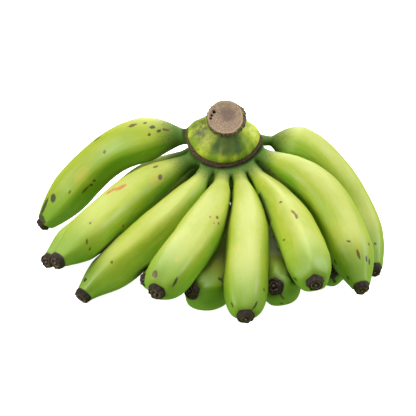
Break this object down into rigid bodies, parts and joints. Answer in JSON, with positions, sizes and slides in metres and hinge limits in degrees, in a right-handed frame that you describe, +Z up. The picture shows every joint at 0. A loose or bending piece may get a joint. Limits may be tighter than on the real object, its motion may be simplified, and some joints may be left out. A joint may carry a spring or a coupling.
{
  "type": "hand of green plantains",
  "caption": "Hand of unripe green plantains fanned in two rows from one cut crown, with dried blossom ends, resting on its fingertips and lower bellies.",
  "frame": {"origin": "on the surface it rests on, under the middle of the whole hand's box", "axes": "+Z up, -Y to the front, where the fingers point and the stalk leans, +X to the right seen from the front"},
  "size_m": [0.3361, 0.2408, 0.1424],
  "materials": {
    "skin": "satin waxy fruit skin",
    "blossom": "dry, rough, dark brown",
    "crown": "matte green stalk with a pale fibrous cut"
  },
  "bodies": {
    "root": {"finger_upper_1": "skin", "blossom_end_upper_1": "blossom", "finger_upper_2": "skin", "blossom_end_upper_2": "blossom", "finger_upper_3": "skin", "blossom_end_upper_3": "blossom", "finger_upper_4": "skin", "blossom_end_upper_4": "blossom", "finger_upper_5": "skin", "blossom_end_upper_5": "blossom", "finger_upper_6": "skin", "blossom_end_upper_6": "blossom", "finger_upper_7": "skin", "blossom_end_upper_7": "blossom", "finger_upper_8": "skin", "blossom_end_upper_8": "blossom", "finger_lower_1": "skin", "blossom_end_lower_1": "blossom", "finger_lower_2": "skin", "blossom_end_lower_2": "blossom", "finger_lower_3": "skin", "blossom_end_lower_3": "blossom", "finger_lower_4": "skin", "blossom_end_lower_4": "blossom", "finger_lower_5": "skin", "blossom_end_lower_5": "blossom", "finger_lower_6": "skin", "blossom_end_lower_6": "blossom", "finger_lower_7": "skin", "blossom_end_lower_7": "blossom", "crown": "crown"}
  },
  "joints": []
}
